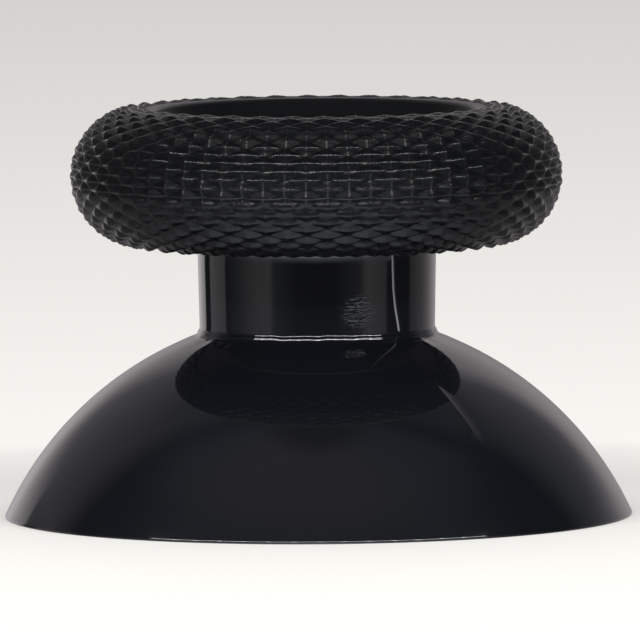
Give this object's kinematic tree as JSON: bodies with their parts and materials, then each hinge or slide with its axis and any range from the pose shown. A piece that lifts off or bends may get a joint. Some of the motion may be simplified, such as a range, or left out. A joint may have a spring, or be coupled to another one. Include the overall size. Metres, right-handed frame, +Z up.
{
  "type": "thumbstick cap",
  "caption": "One-piece thumbstick cap for a game controller: a knurled, dished round head on a neck over a hollow dome, with a flat-sided socket for the joystick's stem.",
  "frame": {"origin": "centre of the dome's bottom edge, on the plane that it rests on", "axes": "+Z up the axis from the dome to the head, -Y is the side that the picture shows"},
  "size_m": [0.0204, 0.0204, 0.0134],
  "materials": {
    "moulded_black_plastic": "glossy moulded neck and dome, matt knurled head"
  },
  "bodies": {
    "root": {"thumbstick_cap": "moulded_black_plastic"}
  },
  "joints": []
}
